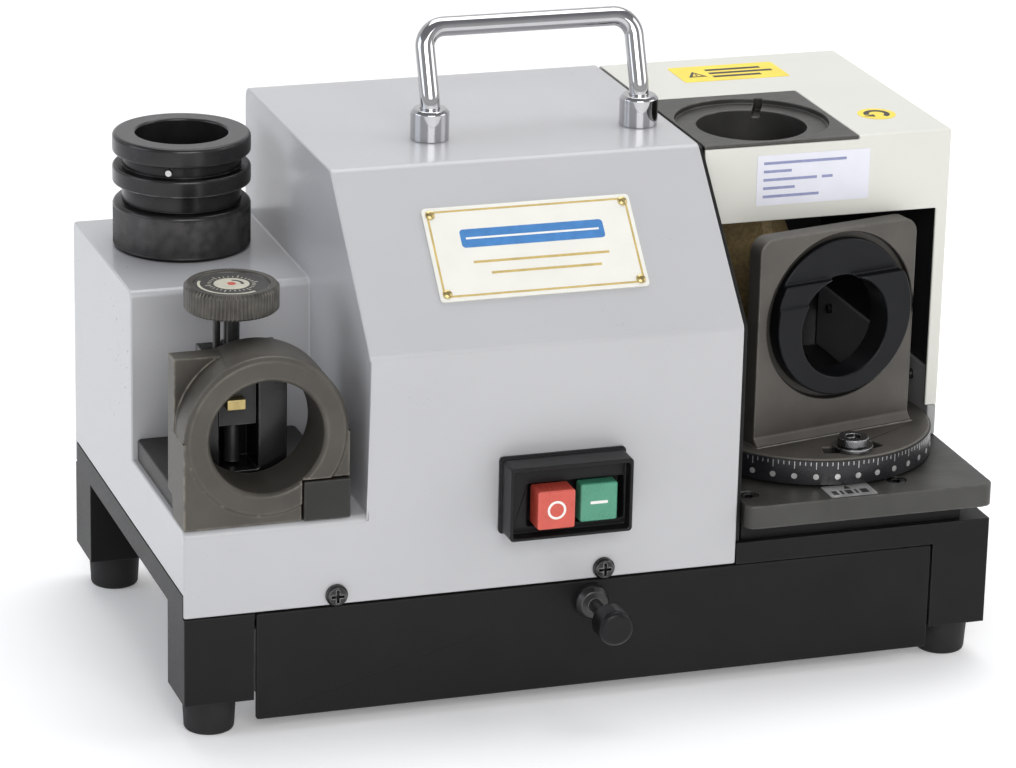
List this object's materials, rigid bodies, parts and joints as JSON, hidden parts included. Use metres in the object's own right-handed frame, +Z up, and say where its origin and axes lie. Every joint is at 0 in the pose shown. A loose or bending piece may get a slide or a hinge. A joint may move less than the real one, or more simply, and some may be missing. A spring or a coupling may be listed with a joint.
{
  "type": "drill bit sharpener",
  "caption": "Bench drill bit sharpener with a sheet metal motor cover, wheel hood, swivelling point seat, setting ring with dial, drill chuck, push buttons, carrying handle and drawer.",
  "frame": {"origin": "centre of the overall footprint on the bench, at the bottom of the feet", "axes": "+X to the operator's right, +Y back from the operator, +Z up"},
  "size_m": [0.32, 0.209, 0.2435],
  "materials": {
    "black_paint": "satin black paint on steel sheet",
    "gray_paint": "semi-gloss light grey paint",
    "cream_paint": "semi-gloss cream white paint",
    "motor_paint": "grey paint",
    "foot_gray": "grey paint",
    "zinc_steel": "zinc plated steel",
    "screw_steel": "plated steel",
    "dark_steel": "blackened steel",
    "black_oxide": "black oxide steel",
    "ring_black": "polished black oxide steel",
    "table_steel": "dark ground steel",
    "chrome": "polished chrome",
    "plate_metal": "printed aluminium plate",
    "brass": "brass",
    "alloy": "turned aluminium",
    "motor_alloy": "cast aluminium",
    "cast_dark": "dark machined iron",
    "cast_olive": "olive brown machined iron",
    "cast_gray": "warm grey machined iron",
    "stator_iron": "varnished laminations and windings",
    "rubber": "moulded black rubber",
    "black_plastic": "moulded black plastic",
    "dial_black": "black anodised aluminium",
    "red_plastic": "red plastic",
    "green_plastic": "green plastic",
    "scale_black": "black printed band with pale marks",
    "abrasive": "bonded abrasive",
    "capacitor_case": "drawn aluminium can",
    "label_yellow": "printed yellow film",
    "label_white": "printed white film"
  },
  "bodies": {
    "frame": {"base_pan": "black_paint", "rubber_feet": "rubber", "foot_screws": "zinc_steel", "drawer_runners": "zinc_steel", "gray_cover": "gray_paint", "cover_screws": "black_oxide", "handle_bar": "chrome", "handle_collars": "chrome", "nameplate": "plate_metal", "nameplate_rivets": "brass", "switch_bezel": "black_plastic", "switch_block": "black_plastic", "chuck_bush": "dark_steel", "setting_base": "cast_dark", "setting_seat": "cast_olive", "setting_post": "black_oxide", "guide_pin": "dark_steel", "setting_stop": "cast_dark", "setting_screws": "black_oxide", "partition_plate": "black_paint", "white_hood": "cream_paint", "hood_foot": "foot_gray", "hood_screws": "screw_steel", "top_seat": "table_steel", "table_plate": "table_steel", "table_riser": "black_paint", "table_screws": "black_oxide", "pivot_pin": "zinc_steel", "motor_case": "motor_paint", "motor_end_caps": "motor_alloy", "motor_stator": "stator_iron", "motor_bearings": "zinc_steel", "motor_cradle": "black_paint", "capacitor": "capacitor_case", "power_inlet": "black_plastic"},
    "drawer": {"drawer_tray": "black_paint", "drawer_front": "black_paint", "drawer_knob": "black_plastic", "drawer_knob_stud": "dark_steel"},
    "stop_button": {"stop_button": "red_plastic"},
    "start_button": {"start_button": "green_plastic"},
    "chuck": {"chuck_body": "black_oxide", "chuck_collet": "dark_steel", "chuck_pin": "zinc_steel"},
    "chuck_nut": {"chuck_nut": "black_oxide"},
    "dial": {"dial_knob": "dial_black", "dial_screw": "dark_steel"},
    "gauge": {"gauge_slide": "black_oxide", "gauge_tip": "brass"},
    "point_seat": {"swivel_bracket": "cast_gray", "scale_band": "scale_black", "seat_ring": "ring_black"},
    "clamp": {"clamp_screw": "screw_steel", "clamp_washer": "screw_steel"},
    "spindle": {"motor_rotor": "dark_steel", "motor_shaft": "zinc_steel", "motor_fan": "black_plastic", "grinding_wheel": "abrasive", "wheel_hub": "alloy", "wheel_nut": "zinc_steel"}
  },
  "joints": [
    {"name": "drawer_slide", "type": "slide", "parent": "frame", "child": "drawer", "axis": [0, -1, 0], "range_m": [0, 0.105]},
    {"name": "stop_press", "type": "slide", "parent": "frame", "child": "stop_button", "axis": [0, 1, 0], "range_m": [0, 0.003]},
    {"name": "start_press", "type": "slide", "parent": "frame", "child": "start_button", "axis": [0, 1, 0], "range_m": [0, 0.003]},
    {"name": "chuck_lift", "type": "slide", "parent": "frame", "child": "chuck", "axis": [0, 0, 1], "range_m": [0, 0.06]},
    {"name": "nut_turn", "type": "hinge", "parent": "chuck", "child": "chuck_nut", "pos_m": [-0.1262, 0.0617, 0.158], "axis": [0, 0, 1], "range_deg": [0, 360]},
    {"name": "dial_turn", "type": "hinge", "parent": "frame", "child": "dial", "pos_m": [-0.1327, -0.0375, 0.16], "axis": [0, 0, 1], "range_deg": [0, 330]},
    {"name": "gauge_travel", "type": "slide", "parent": "frame", "child": "gauge", "axis": [0, 0, -1], "range_m": [0, 0.0051]},
    {"name": "seat_swivel", "type": "hinge", "parent": "frame", "child": "point_seat", "pos_m": [0.1053, -0.019, 0.084], "axis": [0, 0, 1], "range_deg": [-12, 13]},
    {"name": "clamp_turn", "type": "hinge", "parent": "frame", "child": "clamp", "pos_m": [0.10885, -0.05583, 0.088], "axis": [0, 0, 1], "range_deg": [0, 180]},
    {"name": "spindle_spin", "type": "hinge", "parent": "frame", "child": "spindle", "pos_m": [0, 0.0205, 0.1337], "axis": [1, 0, 0], "continuous": true}
  ],
  "couplings": [
    {"joint": "gauge_travel", "follows": "dial_turn", "m_per_rad": 0.00086812}
  ]
}
